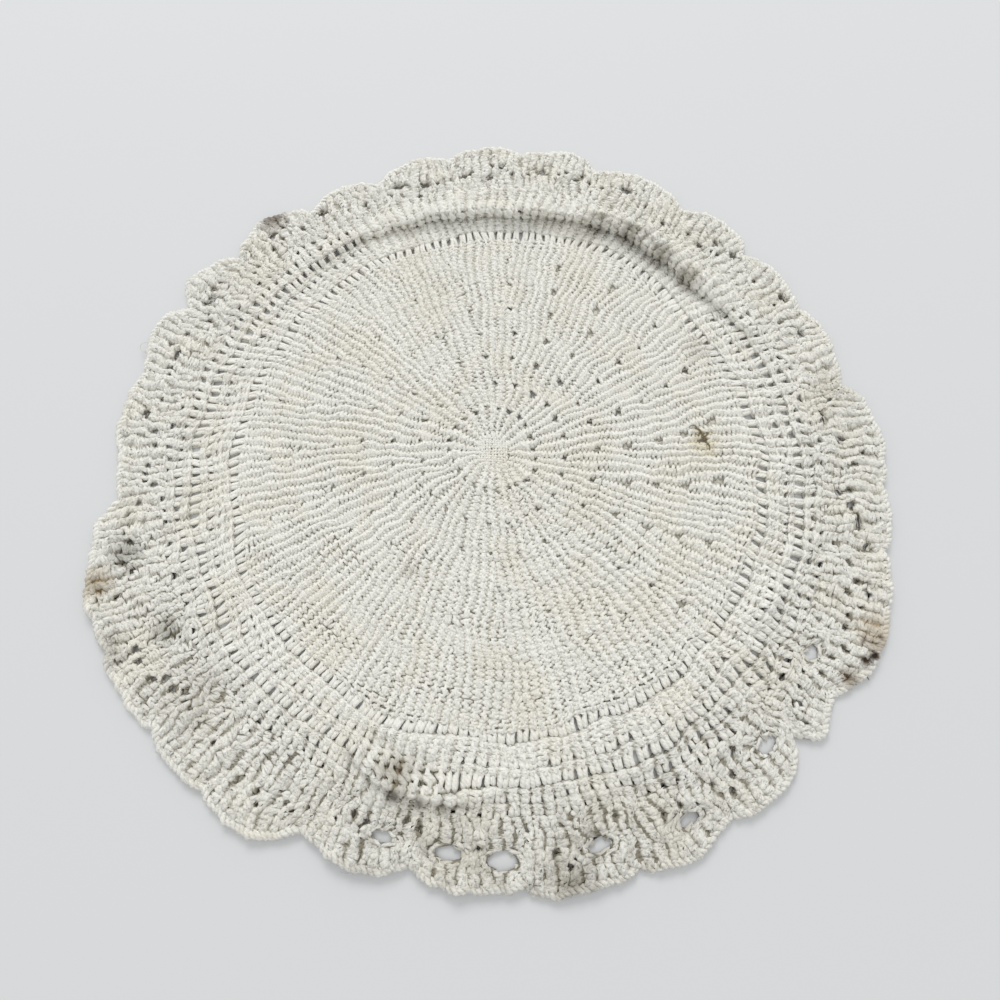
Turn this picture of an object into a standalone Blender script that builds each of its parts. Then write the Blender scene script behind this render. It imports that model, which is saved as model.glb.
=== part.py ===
"""A round knitted cotton doily, lying on its underside with one rolled fold across its far side.

The doily is one strip of garter stitch, worked sideways and bent round until its two ends meet. So the
model starts as a flat grid, with a column for each garter ridge and a row for each step from hub to rim.
The grid is bent round into a disc, its openings are taken out, and it is given its thickness and its lie.
Units are metres, +Z is up, and the origin is under the middle of the bounding box.
"""

from bisect import bisect_right
from collections import namedtuple
from math import cos, pi, radians, sin

import bmesh
import bpy
from mathutils import Vector

# Driving dimensions
DISC_RADIUS = 0.130             # hub to the first ring of eyelets
FRONT_BACK_STRETCH = 1.027      # the cloth has been pulled a little longer from front to back
RIDGES_PER_SCALLOP = 7
CLOTH = 0.0030                  # garter stitch lying flat
RIDGE_RISE = 0.0006             # how far every second ridge stands above, and its neighbour below
SCALLOP_ROUNDNESS = 0.65        # exponent on the sine from a valley to a crown: lower is fuller
EVEN_REACH = 1.05               # as far out as this, in disc radii, the ridges are evenly spread
PINNED_REACH = 1.40             # from here on they follow the scallops
EYELET_RIDGE = 4                # the ridge of each scallop that carries its large eyelet
SEAM_DEG = 315.0                # bearing of the grafted ends, where the rim has a notch
HUB_RISE_ROW = 1                # rows up to this one carry no ridges, because they close up at the hub

# Where each scallop starts, counted anticlockwise from +X, with its reach from the hub there and at its
# crown, in metres along +X. Lift is how far the crown stands off the table.
Scallop = namedtuple("Scallop", "start_deg valley crown_deg crown lift eyelet")
SCALLOPS = (
    Scallop(315.0, 0.181, 318.5, 0.193, 0.0010, True),
    Scallop(326.0, 0.189, 334.5, 0.201, 0.0015, False),
    Scallop(345.0, 0.193, 348.5, 0.198, 0.0020, True),
    Scallop(355.0, 0.193, 362.5, 0.199, 0.0015, True),
    Scallop(371.0, 0.188, 378.5, 0.194, 0.0010, True),
    Scallop(386.0, 0.189, 392.0, 0.192, 0.0020, True),
    Scallop(399.0, 0.187, 405.0, 0.194, 0.0010, True),
    Scallop(412.0, 0.186, 421.5, 0.195, 0.0010, True),
    Scallop(430.0, 0.188, 436.5, 0.198, 0.0005, True),
    Scallop(444.5, 0.190, 450.5, 0.196, 0.0005, True),
    Scallop(458.0, 0.188, 465.0, 0.192, 0.0005, True),
    Scallop(472.5, 0.181, 479.0, 0.189, 0.0005, True),
    Scallop(486.5, 0.181, 493.5, 0.195, 0.0010, True),
    Scallop(502.0, 0.186, 507.5, 0.198, 0.0010, True),
    Scallop(513.5, 0.188, 519.5, 0.198, 0.0010, True),
    Scallop(527.0, 0.188, 532.5, 0.195, 0.0010, True),
    Scallop(539.5, 0.188, 543.0, 0.190, 0.0010, False),
    Scallop(548.0, 0.186, 560.0, 0.202, 0.0015, False),
    Scallop(568.5, 0.198, 571.5, 0.201, 0.0010, False),
    Scallop(580.0, 0.194, 583.5, 0.197, 0.0010, False),
    Scallop(590.5, 0.192, 596.5, 0.194, 0.0015, False),
    Scallop(604.5, 0.182, 610.0, 0.185, 0.0025, False),
    Scallop(619.0, 0.178, 626.0, 0.185, 0.0020, True),
    Scallop(634.5, 0.182, 640.5, 0.189, 0.0015, True),
    Scallop(649.0, 0.184, 656.0, 0.190, 0.0010, True),
    Scallop(662.5, 0.188, 667.5, 0.193, 0.0010, True),
)
SEAM_VALLEY = SCALLOPS[0].valley
TURN_DEG = 360.0

# The openwork lies between the first and the last ring of eyelets, in disc radii from the hub.
Band = namedtuple("Band", "bearing_deg inner outer")
BANDS = (
    Band(0, 1.043, 1.275),
    Band(30, 1.008, 1.250),
    Band(60, 1.045, 1.250),
    Band(90, 0.998, 1.245),
    Band(120, 0.992, 1.245),
    Band(150, 0.992, 1.258),
    Band(180, 1.004, 1.262),
    Band(210, 1.000, 1.245),
    Band(240, 0.988, 1.215),
    Band(270, 0.988, 1.204),
    Band(300, 1.000, 1.250),
    Band(330, 1.030, 1.262),
)

# The fold: the cloth is pushed up into a soft roll, steep on the side that faces the hub. Height is in
# metres, and crest, inner and outer give the place of its top and the width of each flank in disc radii.
Fold = namedtuple("Fold", "bearing_deg height crest inner outer")
FOLDS = (
    Fold(0, 0.0, 1.24, 0.08, 0.14),
    Fold(18, 0.0005, 1.25, 0.08, 0.14),
    Fold(30, 0.0065, 1.27, 0.10, 0.14),
    Fold(42, 0.0075, 1.22, 0.09, 0.15),
    Fold(58, 0.0100, 1.20, 0.08, 0.16),
    Fold(75, 0.0100, 1.18, 0.08, 0.16),
    Fold(90, 0.0095, 1.15, 0.08, 0.16),
    Fold(108, 0.0080, 1.12, 0.07, 0.15),
    Fold(124, 0.0045, 1.12, 0.07, 0.14),
    Fold(140, 0.0010, 1.12, 0.07, 0.14),
    Fold(155, 0.0, 1.12, 0.07, 0.14),
    Fold(250, 0.0, 1.17, 0.06, 0.06),
    Fold(256, 0.0035, 1.17, 0.06, 0.06),
    Fold(262, 0.0, 1.17, 0.06, 0.06),
    Fold(322, 0.0, 1.12, 0.06, 0.07),
    Fold(329, 0.0030, 1.12, 0.06, 0.07),
    Fold(336, 0.0, 1.12, 0.06, 0.07),
    Fold(345, 0.0, 1.24, 0.08, 0.14),
)

# The rows of the grid, from hub to rim. A zone gives what share is a share of: the disc's radius, the
# openwork's width or the edging's width. Thickness is the cloth's there.
Row = namedtuple("Row", "zone share thickness")
ROWS = (
    Row("disc", 0.0, CLOTH),
    Row("disc", 0.55, CLOTH),
    Row("disc", 0.955, CLOTH),
    Row("openwork", -0.08, 0.0026),
    Row("openwork", 0.09, 0.0026),
    Row("openwork", 0.24, 0.0032),
    Row("openwork", 0.50, 0.0024),
    Row("openwork", 0.68, 0.0024),
    Row("openwork", 0.82, 0.0031),
    Row("openwork", 1.0, 0.0022),
    Row("edging", 0.12, 0.0032),
    Row("edging", 0.42, CLOTH),
    Row("edging", 0.58, CLOTH),
    Row("edging", 0.90, 0.0032),
    Row("edging", 1.0, 0.0026),
)
FIRST_RING_ROW, THIRD_RING_ROW, EYELET_ROW = 3, 6, 11   # each is the row at an opening's inner edge

RIDGES = RIDGES_PER_SCALLOP * len(SCALLOPS)
WELD = 0.00001
COTTON = (0.72, 0.70, 0.64, 1.0)


def ease(share):
    """A smooth step from 0 to 1."""
    share = min(max(share, 0.0), 1.0)
    return share * share * (3.0 - 2.0 * share)


def between(table, bearing_deg):
    """The values of a table that is keyed by bearing, eased from row to row around the circle."""
    bearing = bearing_deg % TURN_DEG
    before = bisect_right([row.bearing_deg for row in table], bearing) - 1
    after = (before + 1) % len(table)
    gap = (table[after].bearing_deg - table[before].bearing_deg) % TURN_DEG
    share = ease((bearing - table[before].bearing_deg) / gap)
    return [a + (b - a) * share for a, b in zip(table[before][1:], table[after][1:])]


def scallop_at(bearing_deg):
    """The scallop that a bearing falls in, and where that scallop ends and how far it reaches there."""
    bearing = SEAM_DEG + (bearing_deg - SEAM_DEG) % TURN_DEG
    index = bisect_right([scallop.start_deg for scallop in SCALLOPS], bearing) - 1
    scallop = SCALLOPS[index]
    if index + 1 < len(SCALLOPS):
        return bearing, scallop, SCALLOPS[index + 1].start_deg, SCALLOPS[index + 1].valley
    return bearing, scallop, SEAM_DEG + TURN_DEG, SEAM_VALLEY


def crown_share(bearing_deg):
    """How far up its scallop a bearing is: 0 at either valley and 1 at the crown."""
    bearing, scallop, end_deg, _ = scallop_at(bearing_deg)
    if bearing <= scallop.crown_deg:
        share = (bearing - scallop.start_deg) / (scallop.crown_deg - scallop.start_deg)
    else:
        share = (end_deg - bearing) / (end_deg - scallop.crown_deg)
    return sin(pi / 2 * max(share, 0.0)) ** SCALLOP_ROUNDNESS


def rim_reach(bearing_deg):
    """How far the rim is from the hub at a bearing, in disc radii."""
    bearing, scallop, _, next_valley = scallop_at(bearing_deg)
    valley = scallop.valley if bearing <= scallop.crown_deg else next_valley
    return (valley + (scallop.crown - valley) * crown_share(bearing)) / DISC_RADIUS


def ridge_bearing(ridge, reach):
    """The bearing of a ridge's edge: evenly spread inside, and drawn to its scallop at the rim."""
    even = SEAM_DEG + TURN_DEG * ridge / RIDGES
    index, within = divmod(ridge, RIDGES_PER_SCALLOP)
    starts = [scallop.start_deg for scallop in SCALLOPS] + [SEAM_DEG + TURN_DEG]
    if index == len(SCALLOPS):
        return even
    pinned = starts[index] + (starts[index + 1] - starts[index]) * within / RIDGES_PER_SCALLOP
    return even + (pinned - even) * ease((reach - EVEN_REACH) / (PINNED_REACH - EVEN_REACH))


def row_reach(row, bearing_deg):
    """How far a row is from the hub at a bearing, in disc radii."""
    inner, outer = between(BANDS, bearing_deg)
    if row.zone == "disc":
        return inner * row.share
    if row.zone == "openwork":
        return inner + (outer - inner) * row.share
    return outer + (rim_reach(bearing_deg) - outer) * row.share


def lift(bearing_deg, reach):
    """How far the underside stands off the table: the fold, and the scallops' crowns."""
    height, crest, inner, outer = between(FOLDS, bearing_deg)
    flank = (crest - reach) / inner if reach < crest else (reach - crest) / outer
    fold = height * cos(pi / 2 * min(flank, 1.0)) ** 2
    _, scallop, _, _ = scallop_at(bearing_deg)
    _, outer_ring = between(BANDS, bearing_deg)
    out = (reach - outer_ring) / (rim_reach(bearing_deg) - outer_ring)
    return fold + scallop.lift * crown_share(bearing_deg) * ease(out)


def ground_point(bearing_deg, reach):
    """The place on the table at a bearing and a reach from the hub."""
    angle = radians(bearing_deg)
    return Vector((cos(angle), FRONT_BACK_STRETCH * sin(angle), 0.0)) * (reach * DISC_RADIUS)


def strip_of_ridges(bm):
    """The strip as a flat grid, and each of its points by ridge and row."""
    bmesh.ops.create_grid(bm, x_segments=RIDGES, y_segments=len(ROWS) - 1, size=0.5)
    points = {}
    for point in bm.verts:
        ridge = round((point.co.x + 0.5) * RIDGES)
        row = round((point.co.y + 0.5) * (len(ROWS) - 1))
        points[ridge, row] = point
    return points


def openings(points):
    """The grid's faces that are holes: two rings at every second ridge, and an eyelet in a scallop."""
    inner_edges = {}
    for ridge in range(0, RIDGES, 2):
        inner_edges[ridge, FIRST_RING_ROW] = True
        inner_edges[ridge + 1, THIRD_RING_ROW] = True
    for index, scallop in enumerate(SCALLOPS):
        if scallop.eyelet:
            inner_edges[index * RIDGES_PER_SCALLOP + EYELET_RIDGE, EYELET_ROW] = True
    faces = []
    for ridge, row in inner_edges:
        corners = {points[r, w] for r in (ridge, ridge + 1) for w in (row, row + 1)}
        faces += [face for face in points[ridge, row].link_faces if set(face.verts) == corners]
    return faces


def bend_round(points):
    """Bends the strip round the hub, and keeps each point's bearing and reach for its lie."""
    lies = {}
    for (ridge, row), point in points.items():
        bearing = ridge_bearing(ridge, EVEN_REACH)
        reach = row_reach(ROWS[row], bearing)
        bearing = ridge_bearing(ridge, reach)
        reach = row_reach(ROWS[row], bearing)
        point.co = ground_point(bearing, reach)
        lies[point] = (bearing, reach, ridge, row)
    return lies


def lay_down(bm, lies):
    """Gives the cloth its thickness and its lie: the lower skin on the table or in the fold."""
    lower = list(bm.faces)
    upper = bmesh.ops.extrude_face_region(bm, geom=lower, use_keep_orig=True)["geom"]
    upper_at = {tuple(round(c / WELD) for c in v.co): v for v in upper if isinstance(v, bmesh.types.BMVert)}
    for point, (bearing, reach, ridge, row) in lies.items():
        above = upper_at[tuple(round(c / WELD) for c in point.co)]
        rise = 0.0 if row <= HUB_RISE_ROW else RIDGE_RISE * (1 if ridge % 2 else -1)
        point.co.z = lift(bearing, reach)
        above.co.z = point.co.z + ROWS[row].thickness + rise


def centre_under_box(bm):
    """Moves the cloth so that the origin is under the middle of its bounding box."""
    low = Vector([min(v.co[axis] for v in bm.verts) for axis in range(3)])
    high = Vector([max(v.co[axis] for v in bm.verts) for axis in range(3)])
    middle = (low + high) / 2
    bmesh.ops.translate(bm, verts=bm.verts, vec=(-middle.x, -middle.y, -low.z))
    print("hub at", [round(-middle.x, 6), round(-middle.y, 6)])


def cotton():
    material = bpy.data.materials.new("cotton_yarn")
    material.use_nodes = True
    shader = material.node_tree.nodes["Principled BSDF"]
    shader.inputs["Base Color"].default_value = COTTON
    shader.inputs["Roughness"].default_value = 0.9
    shader.inputs["Metallic"].default_value = 0.0
    return material


def doily(collection):
    bm = bmesh.new()
    points = strip_of_ridges(bm)
    bmesh.ops.delete(bm, geom=openings(points), context="FACES_ONLY")
    lies = bend_round(points)
    merged = bmesh.ops.find_doubles(bm, verts=bm.verts, dist=WELD)["targetmap"]
    bmesh.ops.weld_verts(bm, targetmap=merged)
    lies = {point: lie for point, lie in lies.items() if point.is_valid}
    lay_down(bm, lies)
    bmesh.ops.recalc_face_normals(bm, faces=bm.faces)
    centre_under_box(bm)
    mesh = bpy.data.meshes.new("doily")
    bm.to_mesh(mesh)
    bm.free()
    mesh.shade_smooth()
    mesh.set_sharp_from_angle(angle=radians(40))
    mesh.materials.append(cotton())
    piece = bpy.data.objects.new("doily", mesh)
    collection.objects.link(piece)
    return piece


def main():
    for leftover in list(bpy.data.objects):
        bpy.data.objects.remove(leftover, do_unlink=True)
    collection = bpy.data.collections.new("knitted_doily")
    bpy.context.scene.collection.children.link(collection)
    doily(collection)


main()
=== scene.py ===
# %% [markdown]
# A hand-knitted cotton doily lies on a pale floor. It was worked sideways as one long strip of garter
# stitch, with short rows that bend the strip round into a disc, five rings of eyelets outside the disc,
# and a scalloped edging. The imported model gives the size and place of the cloth, so it is loaded first.

# %% Load the imported model
from functools import partial
from math import cos, pi, radians, sin

import bmesh
import bpy
import numpy as np
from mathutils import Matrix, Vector


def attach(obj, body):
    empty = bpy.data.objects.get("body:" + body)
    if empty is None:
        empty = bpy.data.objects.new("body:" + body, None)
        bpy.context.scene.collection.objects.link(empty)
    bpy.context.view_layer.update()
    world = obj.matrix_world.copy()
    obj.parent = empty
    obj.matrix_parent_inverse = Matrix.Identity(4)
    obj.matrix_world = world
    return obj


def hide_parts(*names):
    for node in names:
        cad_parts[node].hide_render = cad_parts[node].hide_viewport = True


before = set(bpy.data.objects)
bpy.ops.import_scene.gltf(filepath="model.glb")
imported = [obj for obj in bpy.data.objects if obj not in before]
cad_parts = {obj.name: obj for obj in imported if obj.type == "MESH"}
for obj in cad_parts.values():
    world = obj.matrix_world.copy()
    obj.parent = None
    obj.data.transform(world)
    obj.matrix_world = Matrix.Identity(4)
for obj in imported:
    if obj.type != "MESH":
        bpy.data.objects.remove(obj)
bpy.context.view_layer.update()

# %% [markdown]
# The doily's plan is kept as three short tables. Each scallop has a valley and a crown, the openwork
# has an inner and an outer ring, and the soft fold has a height, a crest and two flanks. The knitting
# could be made flat and bent by modifiers, but they would squash the yarn at the fold. So every stitch
# is placed through these tables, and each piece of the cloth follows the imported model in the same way.

# %% The plan: scallops, openwork and fold
HUB = np.array([-0.002593, -0.004966])
DISC_RADIUS = 0.130              # hub to the first ring of eyelets, in metres
FRONT_BACK_STRETCH = 1.027
SEAM_DEG = 315.0                 # where the strip's two ends are grafted
SCALLOP_RIDGES = 7

# start_deg, valley reach in metres, crown_deg, crown reach and crown lift in metres
SCALLOPS = np.array([
    (315.0, 0.181, 318.5, 0.191, 0.0010), (324.0, 0.1885, 334.5, 0.201, 0.0015),
    (345.0, 0.193, 348.5, 0.198, 0.0020), (355.0, 0.193, 362.5, 0.199, 0.0015),
    (371.0, 0.188, 378.5, 0.194, 0.0010), (386.0, 0.189, 392.0, 0.192, 0.0020),
    (399.0, 0.187, 405.0, 0.194, 0.0010), (412.0, 0.186, 421.5, 0.195, 0.0010),
    (430.0, 0.188, 436.5, 0.198, 0.0005), (444.5, 0.190, 450.5, 0.196, 0.0005),
    (458.0, 0.188, 465.0, 0.192, 0.0005), (472.5, 0.181, 479.0, 0.189, 0.0005),
    (486.5, 0.181, 493.5, 0.195, 0.0010), (502.0, 0.186, 507.5, 0.198, 0.0010),
    (513.5, 0.188, 519.5, 0.198, 0.0010), (527.0, 0.188, 532.5, 0.195, 0.0010),
    (539.5, 0.188, 543.0, 0.190, 0.0010), (548.0, 0.186, 560.0, 0.202, 0.0015),
    (568.5, 0.198, 571.5, 0.201, 0.0010), (580.0, 0.194, 583.5, 0.197, 0.0010),
    (590.5, 0.192, 596.5, 0.194, 0.0015), (604.5, 0.182, 610.0, 0.185, 0.0025),
    (619.0, 0.178, 626.0, 0.185, 0.0020), (634.5, 0.182, 640.5, 0.189, 0.0015),
    (649.0, 0.184, 656.0, 0.190, 0.0010), (662.5, 0.188, 667.5, 0.193, 0.0010),
])
START, VALLEY, CROWN_DEG, CROWN, CROWN_LIFT = SCALLOPS.T
NEXT_START = np.append(START[1:], START[0] + 360.0)
NEXT_VALLEY = np.append(VALLEY[1:], VALLEY[0])
RIDGES = SCALLOP_RIDGES * len(SCALLOPS)
CROWN_POWER = 0.65               # under 1, a scallop is broader than a sine wave

# bearing_deg, and the reach of the first and last ring of eyelets in disc radii
OPENWORK = np.array([
    (0, 1.043, 1.275), (30, 1.008, 1.250), (60, 1.045, 1.250), (90, 0.998, 1.245), (120, 0.992, 1.245),
    (150, 0.992, 1.258), (180, 1.004, 1.262), (210, 1.000, 1.245), (240, 0.988, 1.215),
    (270, 0.988, 1.204), (300, 1.000, 1.250), (330, 1.030, 1.262),
])
# bearing_deg, height in metres, the crest and the width of each flank in disc radii, and how far the
# crest leans in over its foot for each metre of its height
FOLD = np.array([
    (0, 0.0, 1.24, 0.08, 0.14, 0.0), (18, 0.0005, 1.20, 0.06, 0.12, 0.3),
    (30, 0.0040, 1.19, 0.04, 0.09, 0.6), (42, 0.0068, 1.170, 0.034, 0.070, 0.8),
    (58, 0.0084, 1.200, 0.034, 0.060, 0.8), (75, 0.0084, 1.172, 0.034, 0.060, 0.8),
    (90, 0.0080, 1.138, 0.034, 0.060, 0.8), (108, 0.0068, 1.150, 0.034, 0.065, 0.8),
    (124, 0.0038, 1.16, 0.035, 0.08, 0.6), (140, 0.0008, 1.15, 0.05, 0.12, 0.3),
    (155, 0.0, 1.12, 0.07, 0.14, 0.0), (243, 0.0, 1.12, 0.06, 0.03, 0.0),
    (248, 0.0045, 1.12, 0.06, 0.03, -0.9), (254, 0.0060, 1.13, 0.06, 0.03, -0.9),
    (260, 0.0045, 1.14, 0.06, 0.03, -0.9), (266, 0.0026, 1.15, 0.05, 0.03, -0.9),
    (272, 0.0, 1.15, 0.05, 0.04, 0.0), (322, 0.0, 1.12, 0.06, 0.07, 0.0),
    (329, 0.0030, 1.12, 0.06, 0.07, 0.0), (336, 0.0, 1.12, 0.06, 0.07, 0.0),
    (345, 0.0, 1.24, 0.08, 0.14, 0.0),
])
print(len(SCALLOPS), "scallops and", RIDGES, "garter ridges")


# %% Reading the plan at any bearing
def ease(share):
    """A smooth step from 0 to 1."""
    share = np.clip(share, 0.0, 1.0)
    return share * share * (3.0 - 2.0 * share)


def around(table, bearing):
    """The columns of a table keyed by bearing, eased from row to row round the circle."""
    keys = table[:, 0]
    turned = np.mod(bearing, 360.0)
    before = np.searchsorted(keys, turned, side="right") - 1
    after = (before + 1) % len(table)
    gap = np.mod(keys[after] - keys[before], 360.0)
    share = ease((turned - keys[before]) / gap)[..., None]
    mixed = table[before, 1:] * (1.0 - share) + table[after, 1:] * share
    return np.moveaxis(mixed, -1, 0)


def scallop_at(bearing):
    """The scallop's number at a bearing, how far up its crown that is, and the rim's reach there."""
    turned = SEAM_DEG + np.mod(bearing - SEAM_DEG, 360.0)
    index = np.searchsorted(START, turned, side="right") - 1
    rising = turned <= CROWN_DEG[index]
    up = (turned - START[index]) / (CROWN_DEG[index] - START[index])
    down = (NEXT_START[index] - turned) / (NEXT_START[index] - CROWN_DEG[index])
    crown = np.sin(pi / 2 * np.clip(np.where(rising, up, down), 0.0, 1.0)) ** CROWN_POWER
    valley = np.where(rising, VALLEY[index], NEXT_VALLEY[index])
    return index, crown, (valley + (CROWN[index] - valley) * crown) / DISC_RADIUS


# %% The cloth's lie
def fold_at(bearing, reach):
    """How far the soft fold and the puckers lift the cloth off the floor, and how far in they lean."""
    height, crest, inner, outer, lean = around(FOLD, bearing)
    flank = np.where(reach < crest, (crest - reach) / inner, (reach - crest) / outer)
    height = height * np.cos(pi / 2 * np.clip(flank, 0.0, 1.0)) ** 2
    return height, height * lean


def lift_at(bearing, reach):
    """How far the cloth's underside stands off the floor: the fold, and the scallops' crowns."""
    index, crown, rim = scallop_at(bearing)
    ring = around(OPENWORK, bearing)[1]
    out = ease((reach - ring) / (rim - ring))
    return fold_at(bearing, reach)[0] + CROWN_LIFT[index] * crown * out


def outward(spots):
    """The way out from the hub at each spot."""
    away = spots - HUB
    return away / np.maximum(np.linalg.norm(away, axis=-1), 1e-9)[..., None]


TILT_STEP = 0.006                # in disc radii


def tilt_at(bearing, reach):
    """How steeply the cloth climbs outward, as an angle."""
    before, after = (fold_at(bearing, reach + step) for step in (-TILT_STEP, TILT_STEP))
    run = 2 * TILT_STEP * DISC_RADIUS - (after[1] - before[1])
    return np.arctan2(after[0] - before[0], run)


def ground(bearing, reach):
    """Floor coordinates of a bearing and a reach, as an array of points."""
    angle = np.radians(bearing)
    across = np.stack([np.cos(angle), FRONT_BACK_STRETCH * np.sin(angle)], axis=-1)
    return HUB + across * (reach * DISC_RADIUS)[..., None]


FOLD_SAMPLES = np.array([45.0, 90.0, 135.0])
print("the fold's height is", fold_at(FOLD_SAMPLES, around(FOLD, FOLD_SAMPLES)[1])[0].round(4))

# %% [markdown]
# Along a row, from hub to rim, the knitting is 32 disc stitches, then eyelets and ribs in turn, then
# the twelve stitches of the edging. A row's stations count these places, so one number says how far
# along the row a point is. Between rows, a wedge of eight ridges has seven short rows: each ridge stops
# four stitches further out than the one before it, and that is what bends the strip into a disc. Copies
# of one ridge round a circle would be simpler, but their stitches would shrink towards the hub. Real
# ones keep their size, and there are fewer of them.

# %% Stations along a row
DISC_STITCHES = 32
STITCHES_A_STEP = 4
HUB_REACH = 0.055
OPENWORK_END = 42
BAND_STATIONS = np.arange(DISC_STITCHES, OPENWORK_END + 1, dtype=float)
# how far across the openwork each of these stations lies, as a share of its width
BAND_SHARES = np.array([-0.08, 0.08, 0.19, 0.335, 0.415, 0.515, 0.665, 0.765, 0.87, 0.96, 1.04])
# the station of a ring of eyelets: half the spread of a ridge's two yarns there, in ridges, and how
# thick they are, as a share of the yarn
BAR_CELLS = {32: (0.11, 0.98), 35: (0.13, 0.98), 37: (0.10, 0.82), 39: (0.13, 0.98), 41: (0.13, 1.0)}
SHUT_BAR = (0.19, 1.18)          # the same, where the eyelets are not drawn open
# bearing_deg, and how far the eyelets there are drawn open, from 0 to 1
OPENNESS = np.array([(0, 0.95), (40, 0.6), (60, 1.0), (110, 1.0), (125, 0.85), (150, 0.9), (180, 0.8),
                     (225, 0.3), (270, 0.0), (310, 0.25), (340, 0.8)])
CLOSED_FOLD = 0.0042             # where the fold is higher, its eyelets are pressed shut
EDGING_STITCHES = 12
LAST_STATION = OPENWORK_END + EDGING_STITCHES
RIM_INSET = 0.020                # the last loops stop this far inside the outline, in disc radii
print(LAST_STATION, "stations along a row, with rings of eyelets at", list(BAR_CELLS))


def reach_at(station, bearing):
    """How far a station is from the hub at a bearing, in disc radii."""
    inner, outer = around(OPENWORK, bearing)
    width = outer - inner
    rim = scallop_at(bearing)[2] - RIM_INSET
    disc_end = inner + width * BAND_SHARES[0]
    disc = HUB_REACH + (disc_end - HUB_REACH) * station / DISC_STITCHES
    band = inner + width * np.interp(station, BAND_STATIONS, BAND_SHARES)
    band_end = inner + width * BAND_SHARES[-1]
    edging = band_end + (rim - band_end) * (station - BAND_STATIONS[-1]) / EDGING_STITCHES
    reach = np.where(station < DISC_STITCHES, disc, np.where(station < BAND_STATIONS[-1], band, edging))
    return np.maximum(reach, 0.0)


# %% Wedges of short rows
WEDGE_RIDGES = 8
FIRST_STEP = 5                   # the strip begins with a wedge's last three ridges
STEP_REACH = 0.117               # from one turn of the short rows to the next, in disc radii
OPENING = 0.05                   # a ridge opens out over this reach, in disc radii
LEAST_WIDTH = 0.4                # a ridge's own share of its width before it has opened out
DRIFT = 0.625                    # how far the turning points lag as a wedge loses its ridges
RIDGE_DEG = 360.0 / RIDGES
PULL_FROM, PULL_FADE = 0.9, 0.25         # the pull starts at this reach and is full this far on
# bearing_deg, and how far the ridges there are pulled round, in degrees
PULL = np.array([(15, -1.8), (45, -0.9), (75, -0.6), (105, 0.6), (135, 2.7), (165, 3.0), (195, 2.1),
                 (225, -1.5), (255, -1.8), (285, -1.3), (315, 0.0), (345, -0.9)])


def wedge_of(ridge):
    """A wedge's ridges by their step in it, this ridge's place, and the wedge's first bearing."""
    number, step = divmod(ridge + FIRST_STEP, WEDGE_RIDGES)
    first = number * WEDGE_RIDGES - FIRST_STEP
    if number == 0 or first + WEDGE_RIDGES > RIDGES:
        ends = [0, 1, 2, 5, 6, 7]
        return ends, ends.index(step), SEAM_DEG - 3 * RIDGE_DEG
    return list(range(WEDGE_RIDGES)), step, SEAM_DEG + first * RIDGE_DEG


def start_station(ridge):
    """The station of a ridge's inner end."""
    return STITCHES_A_STEP * ((ridge + FIRST_STEP) % WEDGE_RIDGES)


def presence(step, reach):
    """How far a ridge of a wedge has opened out at a reach: 0 before its turn, and then 1."""
    if step == 0:
        return np.ones_like(reach)
    return ease((reach - HUB_REACH - step * STEP_REACH) / OPENING + 0.4)


def spread(bearing, reach):
    """How far the ridges have been pulled round from an even spacing, in degrees."""
    return around(PULL, bearing)[0] * ease((reach - PULL_FROM) / PULL_FADE)


def bearing_at(ridge, across, reach):
    """The bearing of a point that is some way across a ridge, from 0 to 1."""
    steps, place, first_deg = wedge_of(ridge)
    here = [presence(step, reach) for step in steps]
    passed = sum(here[:place]) + across * np.maximum(here[place], LEAST_WIDTH)
    open_share = sum(presence(step, reach) for step in range(WEDGE_RIDGES)) / WEDGE_RIDGES
    lag = WEDGE_RIDGES * DRIFT * np.log(open_share)
    even = first_deg + RIDGE_DEG * (len(steps) * passed / sum(here) + lag)
    return even + spread(even, reach)


EDGING_RIDGES = 247              # the edging has a finer pitch, so it has more ridges than the disc


def edging_bearing(ridge, across, reach):
    """The bearing of a point that is some way across one of the edging's ridges."""
    even = SEAM_DEG + (ridge + across) * 360.0 / EDGING_RIDGES
    return even + spread(even, reach)


print("short rows turn at", [round(HUB_REACH + step * STEP_REACH, 2) for step in range(WEDGE_RIDGES)])

# %% [markdown]
# Hand knitting is never even. A gentle field of waves moves neighbouring stitches together, and each
# stitch gets a little jitter of its own. A Displace modifier could do this to the finished mesh, but it
# would also pinch the yarn, so the points are moved before the yarn is drawn. Where the cloth has a
# hole, the yarn around it is pushed aside, as a needle does it. So holes are a list of places and sizes
# that every piece of the cloth shares.

# %% Unevenness
rng = np.random.default_rng(26)
WAVES = [(rng.uniform(0, 2 * pi), 2 * pi / wave, rng.uniform(0, 2 * pi), rng.uniform(0, 2 * pi), size)
         for wave, size in ((0.070, 0.0007), (0.045, 0.0006), (0.028, 0.0005), (0.018, 0.0004),
                            (0.012, 0.0003), (0.034, 0.0005), (0.009, 0.00022),
                            (0.026, 0.0007), (0.019, 0.0007), (0.014, 0.0006), (0.010, 0.0005))]
EVEN_WAVES = 7                   # the first waves run all over the cloth, and the others in the edging


def looseness(bearing, reach):
    """1 in the middle of the edging, and 0 in the disc and at the rim."""
    return ease((reach - 1.18) / 0.10) * ease((scallop_at(bearing)[2] - reach) / 0.12)


def waver(spots, loose):
    """A smooth sideways shift for each place on the floor, with short waves added where it is loose."""
    shift = np.zeros_like(spots)
    for number, (heading, rate, phase_x, phase_y, size) in enumerate(WAVES):
        along = rate * (spots[..., 0] * cos(heading) + spots[..., 1] * sin(heading))
        size = size * loose if number >= EVEN_WAVES else size
        shift[..., 0] += size * np.sin(along + phase_x)
        shift[..., 1] += size * np.sin(along * 1.13 + phase_y)
    return shift


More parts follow.
